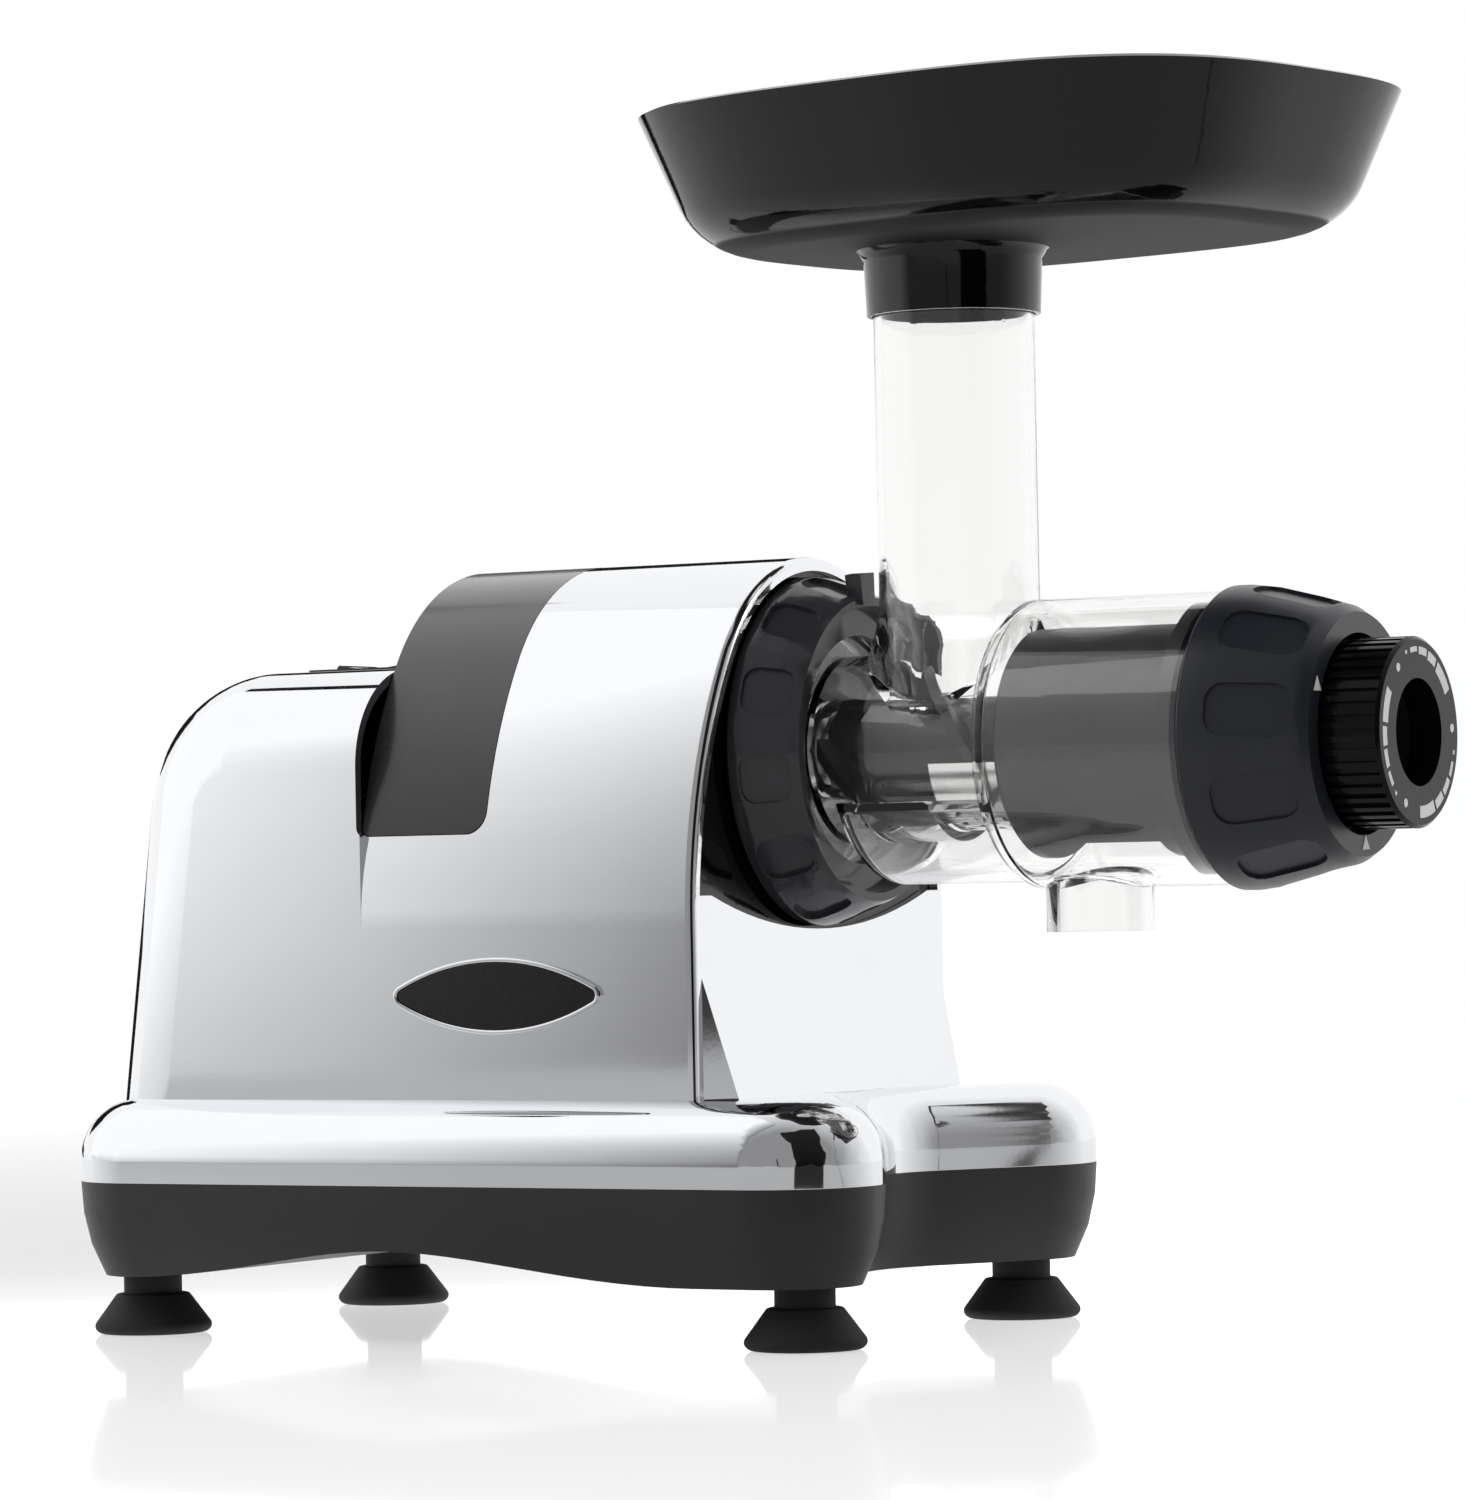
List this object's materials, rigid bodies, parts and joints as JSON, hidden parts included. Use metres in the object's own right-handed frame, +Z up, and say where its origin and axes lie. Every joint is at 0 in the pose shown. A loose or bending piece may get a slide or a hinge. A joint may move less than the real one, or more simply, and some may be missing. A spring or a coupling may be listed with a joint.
{
  "type": "horizontal masticating juicer",
  "caption": "Horizontal slow juicer: geared motor base, clear drum with auger and screen, feed chute with tray, end dial.",
  "frame": {"origin": "middle of the overall length, on the worktop under the feet", "axes": "+X from the motor end to the end dial, +Y away from the badge side, +Z up"},
  "size_m": [0.3684, 0.1648, 0.3183],
  "materials": {
    "base_dark": "satin",
    "chrome_shell": "mirror",
    "zinc_steel": "satin",
    "rubber_black": "matt",
    "gloss_black": "gloss",
    "band_charcoal": "satin",
    "chrome_trim": "polished",
    "matt_black": "matt",
    "clear_drum": "clear",
    "stainless": "polished",
    "cap_charcoal": "fine satin",
    "nylon_gear": "natural",
    "bronze": "sintered",
    "cast_alloy": "cast",
    "lamination": "stacked",
    "copper_winding": "varnished"
  },
  "bodies": {
    "base": {"base_tub": "base_dark", "base_rim": "chrome_shell", "upper_housing": "chrome_shell", "foot_screws": "zinc_steel", "housing_screws": "zinc_steel", "gearbox_screws": "zinc_steel", "mount_screws": "zinc_steel", "motor_bolts": "zinc_steel", "cord_gland": "rubber_black", "front_fascia": "gloss_black", "handle_band": "band_charcoal", "badge_plate": "gloss_black", "badge_rim": "chrome_trim", "switch_bezel": "gloss_black", "switch_body": "matt_black", "switch_pin": "zinc_steel", "drum": "clear_drum", "drum_seal": "rubber_black", "screen_mesh": "stainless", "screen_frame": "matt_black", "cap_seal": "rubber_black", "output_bushes": "bronze", "idler_bushes": "bronze", "gearbox_housing": "cast_alloy", "gearbox_cover": "cast_alloy", "shaft_seal": "rubber_black", "stator_core": "lamination", "stator_windings": "copper_winding", "motor_rear_bell": "cast_alloy", "motor_front_bell": "cast_alloy", "motor_bearings": "zinc_steel", "motor_mounts": "rubber_black", "capacitor": "cast_alloy", "capacitor_clip": "zinc_steel", "foot_rear_near": "rubber_black", "foot_rear_far": "rubber_black", "foot_front_near": "rubber_black", "foot_front_far": "rubber_black"},
    "drive": {"auger": "matt_black", "auger_spindle": "stainless", "output_shaft": "stainless", "output_gear": "nylon_gear"},
    "idler": {"idler_shaft": "zinc_steel", "idler_gear": "nylon_gear", "idler_pinion": "zinc_steel"},
    "rotor": {"motor_shaft": "zinc_steel", "rotor_core": "lamination", "motor_pinion": "zinc_steel", "fan": "nylon_gear"},
    "ring": {"locking_ring": "gloss_black"},
    "cap": {"drum_cap": "cap_charcoal", "dial_seal": "rubber_black"},
    "dial": {"end_dial": "gloss_black"},
    "tray": {"tray": "gloss_black"},
    "rocker": {"switch_rocker": "gloss_black"}
  },
  "joints": [
    {"name": "auger_spin", "type": "hinge", "parent": "base", "child": "drive", "pos_m": [0, 0, 0.15235], "axis": [1, 0, 0], "continuous": true},
    {"name": "idler_spin", "type": "hinge", "parent": "base", "child": "idler", "pos_m": [0, 0.02804, 0.11795], "axis": [1, 0, 0], "continuous": true},
    {"name": "rotor_spin", "type": "hinge", "parent": "base", "child": "rotor", "pos_m": [0, 0, 0.097], "axis": [1, 0, 0], "continuous": true},
    {"name": "ring_turn", "type": "hinge", "parent": "base", "child": "ring", "pos_m": [0, 0, 0.15235], "axis": [1, 0, 0], "range_deg": [0, 45]},
    {"name": "cap_turn", "type": "hinge", "parent": "base", "child": "cap", "pos_m": [0, 0, 0.15235], "axis": [1, 0, 0], "range_deg": [0, 30]},
    {"name": "dial_turn", "type": "hinge", "parent": "cap", "child": "dial", "pos_m": [0, 0, 0.15235], "axis": [1, 0, 0], "range_deg": [0, 100]},
    {"name": "tray_lift", "type": "slide", "parent": "base", "child": "tray", "axis": [0, 0, 1], "range_m": [0, 0.06]},
    {"name": "switch_tilt", "type": "hinge", "parent": "base", "child": "rocker", "pos_m": [-0.12445, 0, 0.1715], "axis": [0, 1, 0], "range_deg": [-12, 12]}
  ],
  "couplings": [
    {"joint": "idler_spin", "follows": "auger_spin", "ratio": -4.4615},
    {"joint": "rotor_spin", "follows": "auger_spin", "ratio": 21.564}
  ]
}
